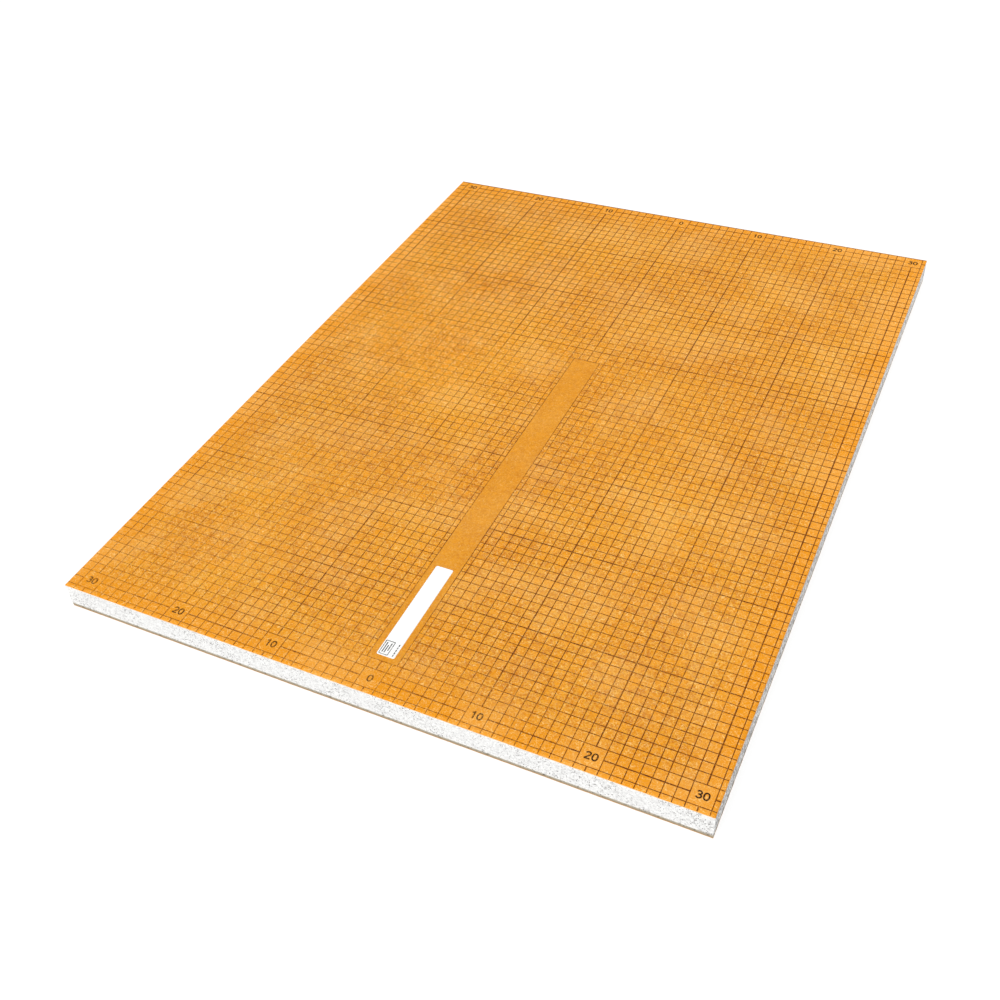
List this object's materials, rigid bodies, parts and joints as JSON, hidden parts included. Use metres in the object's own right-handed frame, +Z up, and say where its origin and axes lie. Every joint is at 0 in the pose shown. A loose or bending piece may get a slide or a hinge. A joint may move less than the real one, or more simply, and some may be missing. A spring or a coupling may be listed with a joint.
{
  "type": "foam tile backer board",
  "caption": "Flat rigid foam building board with fleece-faced skins, a printed centimetre scale and a small plain label, for backing wall and floor tiles.",
  "frame": {"origin": "middle of the underside, the face that lies on the floor", "axes": "+X across the board's width, +Y along its length from the labelled end to the far end, +Z up through the printed face"},
  "size_m": [0.625, 0.826, 0.0282],
  "materials": {
    "core_foam": "matte",
    "orange_fleece": "matte",
    "back_fleece": "matte",
    "label_paper": "satin"
  },
  "bodies": {
    "root": {"foam_core": "core_foam", "top_facing": "orange_fleece", "bottom_facing": "back_fleece", "label": "label_paper"}
  },
  "joints": []
}
